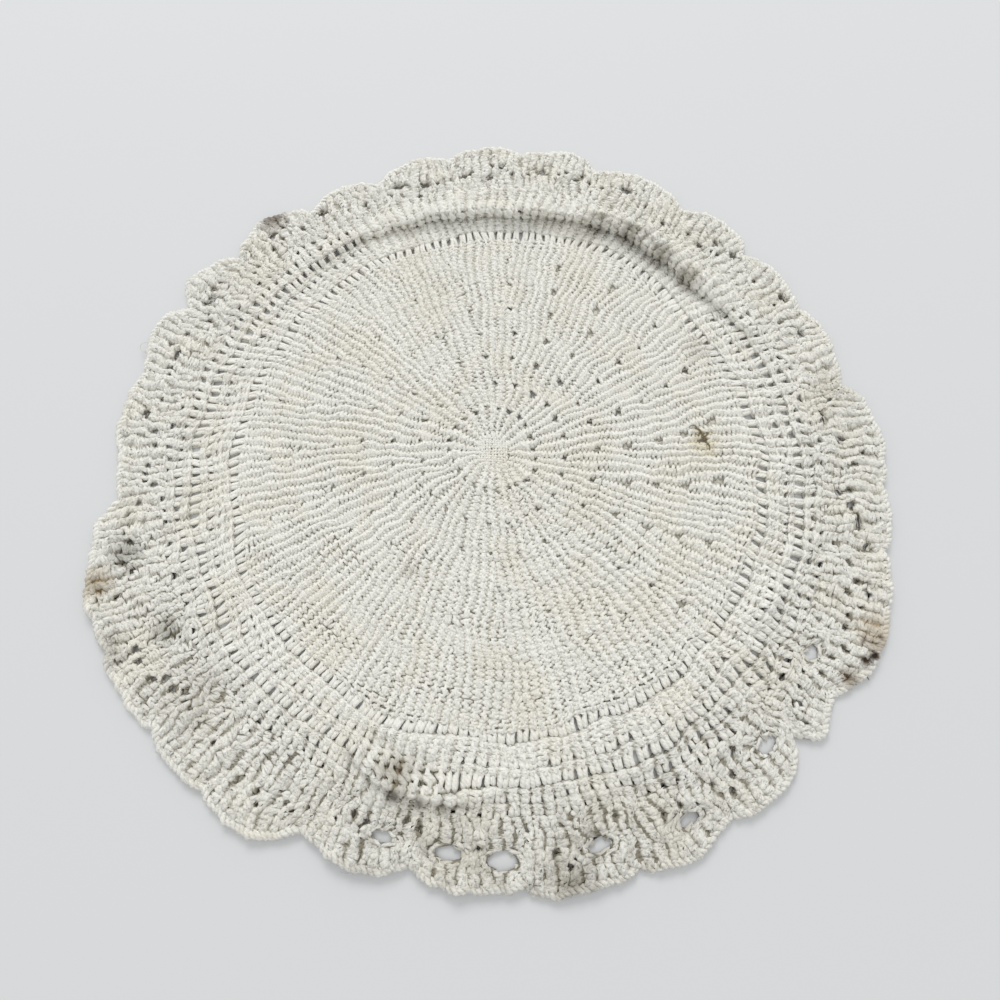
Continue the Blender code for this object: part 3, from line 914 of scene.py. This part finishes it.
def loose_thread(start, heading_deg, length, curl, rise, thick):
    """A thread that leaves the cloth at a place and heading, curls, and comes down again."""
    share = np.linspace(0.0, 1.0, THREAD_POINTS)
    heading = radians(heading_deg) + curl * share
    steps = np.column_stack([np.cos(heading), np.sin(heading)]) * (length / THREAD_POINTS)
    line = np.array(start[:2]) + np.cumsum(steps, axis=0)
    height = start[2] + rise * np.sin(pi * share) * (1 - 0.3 * share)
    radius = thick * (1.0 - THREAD_TAPER * share)
    points = np.column_stack([line, np.maximum(height, radius)])
    steady = np.ones(THREAD_POINTS)
    return points, radius, steady * 0.5, steady * 0.2


def loose_threads(name, ends):
    """A mesh of threads, one for each row of a table."""
    return yarn_tube(name, [loose_thread(end[:3], *end[3:]) for end in ends])


# x, y and z in metres, heading_deg, length, curl in radians, rise and radius
RIM_ENDS = [
    (0.1605, -0.1100, 0.0018, 335, 0.0060, -0.5, 0.0012, 0.0008),
    (0.1590, -0.1090, 0.0022, 250, 0.0070, 0.6, 0.0008, 0.0008),
    (0.1560, -0.1110, 0.0022, 215, 0.0060, -0.9, 0.0008, 0.0007),
]
SNAG_ENDS = [
    (0.1008, 0.0072, 0.0032, 340, 0.0070, -1.5, 0.0012, 0.0006),
    (0.1038, 0.0052, 0.0032, 275, 0.0075, 0.6, 0.0012, 0.0006),
    (0.1052, -0.0008, 0.0030, 330, 0.0055, -1.4, 0.0010, 0.0006),
    (0.1018, 0.0056, 0.0030, 80, 0.0060, 2.6, 0.0012, 0.0005),
    (0.1072, 0.0048, 0.0030, 255, 0.0045, -1.0, 0.0010, 0.0005),
]
STRAY_LOOPS = [
    (-0.1895, 0.0520, 0.0020, 190, 0.011, -3.6, 0.0015, 0.0003),
    (0.0450, 0.1885, 0.0025, 60, 0.006, 1.2, 0.0008, 0.0003),
    (0.1905, 0.0100, 0.0020, 10, 0.005, 1.4, 0.0006, 0.0003),
    (-0.0600, -0.1850, 0.0016, 250, 0.005, -1.8, 0.0005, 0.0003),
]
rim_ends = loose_threads("rim_ends", RIM_ENDS)
snag_ends = loose_threads("snag_ends", SNAG_ENDS)
print(len(RIM_ENDS), "ends at the notch and", len(SNAG_ENDS), "at the snag")

# %% Hairs on the fold
HAIRS = 110
HAIR_BEARINGS = (36, 80)
HAIR_LENGTHS = (0.003, 0.006)
HAIR_FOOT = 0.0030               # above the cloth's underside
HAIR_RISE = 0.0008
HAIR_RADIUS = 0.00022


def fold_fuzz():
    """Short hairs on the part of the fold darkened with painted shade, where the yarn has worn."""
    for _ in range(HAIRS):
        bearing = np.array(rng.uniform(*HAIR_BEARINGS))
        _, crest, inner, _, _ = around(FOLD, bearing)
        reach = crest + rng.uniform(-0.5, 1.0) * inner
        height, lean = fold_at(bearing, reach)
        spot = ground(bearing, reach)
        spot = spot - outward(spot) * lean
        yield (*spot, float(height) + HAIR_FOOT, rng.uniform(0, 360), rng.uniform(*HAIR_LENGTHS),
               rng.uniform(-2, 2), HAIR_RISE, HAIR_RADIUS)


fuzz = loose_threads("fold_fuzz", list(fold_fuzz()))
stray_loops = loose_threads("stray_loops", STRAY_LOOPS)
print(len(fuzz.data.polygons), "faces in", HAIRS, "hairs")

# %% [markdown]
# The finish is matte, washed cotton. It could be painted, but a painted image turns to a blur close up.
# Here it is worked out from noise, from the map along the yarn and from how deep the yarn lies in the
# cloth, which also paints shade into the hollows. Three effects are shared by its materials, so each is
# a node group: the twist of the plies, the uneven tone of old cotton, and a patch with a ragged edge,
# for stains and for patches of painted shade. They put out values only, and each material mixes them
# into its own colours.

# %% Helpers for node groups and materials
def new_group(name, inputs, outputs):
    """An empty shader group with its sockets. Each socket is (name, kind, value)."""
    tree = bpy.data.node_groups.new(name, "ShaderNodeTree")
    for label, kind, value in inputs:
        socket = tree.interface.new_socket(label, in_out="INPUT", socket_type=kind)
        socket.default_value = value
    for label, kind in outputs:
        tree.interface.new_socket(label, in_out="OUTPUT", socket_type=kind)
    return tree, tree.nodes.new("NodeGroupInput"), tree.nodes.new("NodeGroupOutput")


def feed(tree, socket, value):
    """Gives an input its value, or links it to another node's output."""
    if isinstance(value, bpy.types.NodeSocket):
        tree.links.new(value, socket)
    else:
        socket.default_value = value


def node(tree, kind, settings=(), **inputs):
    """A node with its settings and its inputs: a value sets an input, and a socket is linked to it."""
    made = tree.nodes.new(kind)
    for key, value in dict(settings).items():
        setattr(made, key, value)
    for key, value in inputs.items():
        numbered = key[0] == "i" and key[1:].isdigit()
        feed(tree, made.inputs[int(key[1:]) if numbered else key], value)
    return made


def maths(tree, operation, *values):
    """The result of a Math node."""
    return node(tree, "ShaderNodeMath", {"operation": operation},
                **{f"i{number}": value for number, value in enumerate(values)}).outputs[0]


def blended(tree, factor, first, second, way="MIX"):
    """A colour mixed from two others."""
    made = tree.nodes.new("ShaderNodeMix")
    made.data_type = "RGBA"
    made.blend_type = way
    for number, value in ((0, factor), (6, first), (7, second)):
        feed(tree, made.inputs[number], value)
    return made.outputs[2]


def noise(tree, scale, detail, roughness=0.5):
    """A noise pattern that stays with the doily."""
    where = node(tree, "ShaderNodeTexCoord").outputs["Object"]
    return node(tree, "ShaderNodeTexNoise", Vector=where, Scale=scale, Detail=detail,
                Roughness=roughness).outputs[0]


def ramp(tree, value, start, end):
    """A smooth step from 0 at one value to 1 at another."""
    return node(tree, "ShaderNodeMapRange", {"interpolation_type": "SMOOTHSTEP"},
                i0=value, i1=start, i2=end).outputs[0]


HELPERS = (new_group, feed, node, maths, blended, noise, ramp)
print("helpers:", ", ".join(helper.__name__ for helper in HELPERS))

# %% Shared effects
PLIES = 3
PLY_TURNS = 2                    # for each turn of the yarn
RAGGEDNESS = 1.1                 # how far noise moves a stain's edge, in its sizes


def ply_twist_group():
    """Height of the plies that wind round the yarn and of its fuzz, and the grooves where shade is
    painted.
    """
    tree, _, out = new_group("ply_twist", [],
                             [("Height", "NodeSocketFloat"), ("Groove", "NodeSocketFloat")])
    uv = node(tree, "ShaderNodeUVMap", {"uv_map": "yarn"})
    split = node(tree, "ShaderNodeSeparateXYZ", i0=uv.outputs[0])
    turn = maths(tree, "ADD", maths(tree, "MULTIPLY", split.outputs[0], PLY_TURNS),
                 maths(tree, "MULTIPLY", split.outputs[1], PLIES))
    ply = maths(tree, "ABSOLUTE", maths(tree, "SINE", maths(tree, "MULTIPLY", turn, pi)))
    fuzz = maths(tree, "MULTIPLY", noise(tree, 1400.0, 2.0), 1.6)
    tree.links.new(maths(tree, "MULTIPLY_ADD", ply, 0.8, fuzz), out.inputs["Height"])
    tree.links.new(ramp(tree, ply, 0.55, 0.0), out.inputs["Groove"])
    return tree


def old_tone_group():
    """Two slow patterns: one for warm and cool patches, and one for specks where the soiling lies
    thicker.
    """
    tree, _, out = new_group("old_tone", [],
                             [("Warmth", "NodeSocketFloat"), ("Specks", "NodeSocketFloat")])
    tree.links.new(ramp(tree, noise(tree, 32.0, 3.0, 0.6), 0.42, 0.68), out.inputs["Warmth"])
    tree.links.new(ramp(tree, noise(tree, 170.0, 4.0, 0.65), 0.40, 0.75), out.inputs["Specks"])
    return tree


def ragged_patch_group():
    """1 in a patch and 0 outside it, with a ragged edge. The patches are stains, and some are painted
    shade.
    """
    tree, given, out = new_group(
        "ragged_patch", [("Centre", "NodeSocketVector", (0, 0, 0)), ("Size", "NodeSocketFloat", 0.01)],
        [("Mask", "NodeSocketFloat")])
    where = node(tree, "ShaderNodeTexCoord").outputs["Object"]
    flat = node(tree, "ShaderNodeVectorMath", {"operation": "MULTIPLY"}, i0=where, i1=(1.0, 1.0, 0.0))
    apart = node(tree, "ShaderNodeVectorMath", {"operation": "DISTANCE"}, i0=flat.outputs[0],
                 i1=given.outputs["Centre"])
    far = maths(tree, "DIVIDE", apart.outputs["Value"], given.outputs["Size"])
    far = maths(tree, "ADD", far, maths(tree, "MULTIPLY", noise(tree, 220.0, 3.0), RAGGEDNESS))
    tree.links.new(ramp(tree, far, 1.55, 0.65), out.inputs["Mask"])
    return tree


PLY_TWIST, OLD_TONE, RAGGED_PATCH = ply_twist_group(), old_tone_group(), ragged_patch_group()
print("shared effects", [group.name for group in (PLY_TWIST, OLD_TONE, RAGGED_PATCH)])

# %% Colours, soil and stains of the cotton
COTTON = (0.915, 0.905, 0.845, 1.0)
WARM_COTTON = (0.90, 0.875, 0.785, 1.0)
# the grey of soiling, also used for the painted shade of hollows, ply grooves and the fold
GREY_SOIL_AND_SHADE = (0.30, 0.275, 0.215, 1.0)
# x, y and size in metres, strength, and colour
STAINS_AND_SHADE_PATCHES = [
    (-0.1880, -0.0715, 0.0120, 1.40, (0.30, 0.21, 0.09)),
    (-0.1780, -0.0560, 0.0120, 1.20, (0.13, 0.12, 0.08)),
    (0.1735, -0.0930, 0.0150, 0.90, (0.45, 0.33, 0.18)),
    (0.1700, -0.0985, 0.0075, 1.00, (0.23, 0.15, 0.075)),
    (0.1684, -0.1038, 0.0032, 2.50, (0.035, 0.022, 0.013)),
    (0.1640, -0.1062, 0.0044, 1.90, (0.070, 0.045, 0.024)),
    (0.1648, -0.0972, 0.0024, 1.40, (0.12, 0.08, 0.05)),
    (0.1732, -0.0962, 0.0026, 1.50, (0.12, 0.08, 0.045)),
    (0.1560, -0.1125, 0.0070, 1.80, (0.17, 0.11, 0.05)),
    (0.1720, -0.0765, 0.0022, 2.40, (0.01, 0.01, 0.01)),
    (0.1045, -0.0010, 0.0105, 1.40, (0.72, 0.63, 0.40)),
    (0.1035, 0.0035, 0.0060, 0.80, (0.42, 0.35, 0.20)),
    # the next four lie on the fold's inner flank, which faces away from the light: painted shade
    (0.0590, 0.1365, 0.0110, 1.50, (0.20, 0.18, 0.13)),
    (0.0770, 0.1275, 0.0125, 1.75, (0.19, 0.17, 0.12)),
    (0.0930, 0.1135, 0.0125, 1.70, (0.20, 0.18, 0.13)),
    (0.1070, 0.0970, 0.0105, 1.40, (0.24, 0.21, 0.15)),
    (-0.1330, 0.1420, 0.0130, 1.90, (0.13, 0.09, 0.06)),
    (0.0305, -0.1900, 0.0150, 1.10, (0.17, 0.14, 0.09)),
    (-0.1515, -0.0915, 0.0110, 1.20, (0.14, 0.13, 0.08)),
    (-0.1760, -0.1010, 0.0120, 0.90, (0.17, 0.15, 0.09)),
    # the next four lie along the pucker near the bottom: its painted shadow, a brown patch and a broken
    # dark line
    (-0.0430, -0.1500, 0.0110, 1.20, (0.26, 0.22, 0.15)),
    (-0.0440, -0.1590, 0.0045, 1.90, (0.12, 0.10, 0.07)),
    (-0.0335, -0.1615, 0.0042, 1.80, (0.13, 0.11, 0.08)),
    (-0.0235, -0.1630, 0.0038, 1.60, (0.15, 0.13, 0.09)),
    (-0.0420, -0.0651, 0.0070, 0.60, (0.33, 0.28, 0.20)),
    (0.1080, 0.0540, 0.0130, 0.60, (0.30, 0.25, 0.16)),
    (-0.1350, -0.1200, 0.0250, 0.50, (0.30, 0.26, 0.18)),
    (0.1780, 0.0300, 0.0200, 0.50, (0.36, 0.31, 0.19)),
]


# how much of the soiling shows everywhere and in a speck, and how much soiling and painted shade a hollow
# adds
LEAST_DIRT, SPECK_DIRT, HOLLOW_DIRT_AND_SHADE = 0.10, 0.35, 0.65
# how much painted shade darkens a hollow of the knitting and a groove between plies, even on clean cotton
HOLLOW_SHADE, GROOVE_SHADE = 0.60, 0.08
# how much of a stain's strength the cotton takes up at the front, and how much more in a hollow
STAIN_AT_FRONT, STAIN_IN_HOLLOW = 0.40, 0.60
STAIN_ON_FLUFF = 0.8


def yarn_shading(tree, dirt_and_shade):
    """Hollows get more soiling, stain and painted shade, and the grooves between plies painted shade.
    Plies stand out.
    """
    twist = node(tree, "ShaderNodeGroup", {"node_tree": PLY_TWIST})
    depth = node(tree, "ShaderNodeAttribute", {"attribute_name": "depth"}).outputs["Fac"]
    hollow = node(tree, "ShaderNodeMapRange", i0=depth, i1=0.2, i2=-1.0).outputs[0]
    dirt_and_shade = maths(tree, "MULTIPLY_ADD", hollow, HOLLOW_DIRT_AND_SHADE, dirt_and_shade)
    shade = maths(tree, "MULTIPLY", hollow, HOLLOW_SHADE)
    shade = maths(tree, "MULTIPLY_ADD", twist.outputs["Groove"], GROOVE_SHADE, shade)
    gather = maths(tree, "MULTIPLY_ADD", hollow, STAIN_IN_HOLLOW, STAIN_AT_FRONT)
    return dirt_and_shade, shade, gather, twist.outputs["Height"]


def fluff_shading(tree, dirt_and_shade):
    """The fluff is alike all through, with fuzz in place of plies."""
    return dirt_and_shade, 0.0, STAIN_ON_FLUFF, noise(tree, 900.0, 3.0)


def stained_and_shaded(tree, colour, gather):
    """A colour with every stain and every patch of painted shade mixed in."""
    for x, y, size, strength, patch_colour in STAINS_AND_SHADE_PATCHES:
        stain = node(tree, "ShaderNodeGroup", {"node_tree": RAGGED_PATCH},
                     Centre=(x, y, 0.0), Size=size)
        share = maths(tree, "MULTIPLY", maths(tree, "MULTIPLY", stain.outputs[0], strength), gather)
        colour = blended(tree, share, colour, (*patch_colour, 1.0))
    return colour


print("hollows take up", STAIN_AT_FRONT + STAIN_IN_HOLLOW, "of a stain, and the front", STAIN_AT_FRONT)

# %% Washed cotton
def washed_cotton(name, tint=(1.0, 1.0, 1.0, 1.0), shading=yarn_shading):
    """Old off-white cotton: warm patches, grey soiling, painted shade in the hollows and on the fold, and
    stains.
    """
    material = bpy.data.materials.new(name)
    material.use_nodes = True
    tree = material.node_tree
    shader = tree.nodes["Principled BSDF"]
    tone = node(tree, "ShaderNodeGroup", {"node_tree": OLD_TONE})
    soil_and_shade = node(tree, "ShaderNodeAttribute", {"attribute_name": "soil_and_shade"}).outputs["Fac"]
    dirt_and_shade = maths(tree, "MULTIPLY_ADD", tone.outputs["Specks"], SPECK_DIRT, LEAST_DIRT)
    dirt_and_shade, shade, gather, height = shading(tree, dirt_and_shade)
    colour = blended(tree, tone.outputs["Warmth"], COTTON, WARM_COTTON)
    colour = blended(tree, maths(tree, "MULTIPLY_ADD", dirt_and_shade, soil_and_shade, shade), colour, GREY_SOIL_AND_SHADE)
    colour = blended(tree, 1.0, stained_and_shaded(tree, colour, gather), tint, way="MULTIPLY")
    tree.links.new(colour, shader.inputs["Base Color"])
    shader.inputs["Roughness"].default_value = 0.92
    shader.inputs["Specular IOR Level"].default_value = 0.25
    bump = node(tree, "ShaderNodeBump", Height=height, Distance=0.00025, Strength=0.7)
    tree.links.new(bump.outputs[0], shader.inputs["Normal"])
    return material


yarn_cotton = washed_cotton("yarn_cotton")
# the fluff is tinted darker than the yarn: painted shade, as it is seen only deep between the loops
fluff_cotton = washed_cotton("fluff_cotton", tint=(0.86, 0.85, 0.82, 1.0), shading=fluff_shading)
stained_yarn = washed_cotton("stained_yarn", tint=(0.30, 0.25, 0.17, 1.0))
for piece in knitting + edges + [stray_loops, fuzz]:
    piece.data.materials.append(yarn_cotton)
for piece in (rim_ends, snag_ends):
    piece.data.materials.append(stained_yarn)
fluff.data.materials.append(fluff_cotton)
print(len(STAINS_AND_SHADE_PATCHES), "stains on", [material.name for material in (yarn_cotton, fluff_cotton, stained_yarn)])

# %% [markdown]
# The floor is plain and pale. The light is soft and comes from the far side, as from a window, so each
# ridge has a light side and a dark one. A sun lamp would draw hard shadows between the loops, so it is
# a large area light under a bright sky. The camera stands over the near side and looks down.

# %% Floor
FLOOR_HALF = 3.0                 # metres
bm = bmesh.new()
bmesh.ops.create_grid(bm, x_segments=1, y_segments=1, size=FLOOR_HALF)
floor_mesh = bpy.data.meshes.new("floor")
bm.to_mesh(floor_mesh)
bm.free()
floor = place("floor", floor_mesh)
floor_material = bpy.data.materials.new("pale_floor")
floor_material.use_nodes = True
floor_shader = floor_material.node_tree.nodes["Principled BSDF"]
floor_shader.inputs["Base Color"].default_value = (0.695, 0.704, 0.709, 1.0)
floor_shader.inputs["Roughness"].default_value = 0.8
floor_shader.inputs["Specular IOR Level"].default_value = 0.1
floor_mesh.materials.append(floor_material)

# %% Light
world = bpy.data.worlds.new("room")
bpy.context.scene.world = world
world.use_nodes = True
sky = world.node_tree.nodes["Background"]
sky.inputs["Color"].default_value = (0.985, 0.992, 1.0, 1.0)
sky.inputs["Strength"].default_value = 0.765


def soft_light(name, spot, size, watts):
    """An area light that faces the doily."""
    data = bpy.data.lights.new(name, "AREA")
    data.shape = "RECTANGLE"
    data.size, data.size_y = size
    data.energy = watts
    lamp = bpy.data.objects.new(name, data)
    bpy.context.scene.collection.objects.link(lamp)
    lamp.location = spot
    lamp.rotation_euler = (-Vector(spot)).to_track_quat("-Z", "Y").to_euler()


soft_light("window", (-0.3, 2.6, 2.3), (1.8, 1.2), 49.0)
bpy.context.scene.view_settings.view_transform = "Standard"
print("lights", [light.name for light in bpy.data.lights])

# %% Camera
CAMERA_DISTANCE = 0.30504
CAMERA_TILT = radians(20.178)
lens = bpy.data.cameras.new("camera")
lens.lens = 21.6
lens.sensor_width = 36.0
lens.shift_x = 0.007
lens.shift_y = -0.049
lens.clip_start = 0.01
camera = bpy.data.objects.new("camera", lens)
bpy.context.scene.collection.objects.link(camera)
camera.location = (HUB[0], HUB[1] - CAMERA_DISTANCE * sin(CAMERA_TILT),
                   MIDDLE_HEIGHT + CAMERA_DISTANCE * cos(CAMERA_TILT))
camera.rotation_euler = (CAMERA_TILT, 0.0, 0.0)
bpy.context.scene.camera = camera
print("camera at", [round(value, 3) for value in camera.location])

# %% [markdown]
# Every piece rides on the one body. The thin sheet stands for the imported solid, which is hidden.

# %% Attach every piece to the body, and hide the imported solid
yarn_pieces = knitting + edges + [rim_ends, snag_ends, stray_loops, fuzz]
for piece in yarn_pieces + [fluff]:
    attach(piece, "root")
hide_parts("doily")
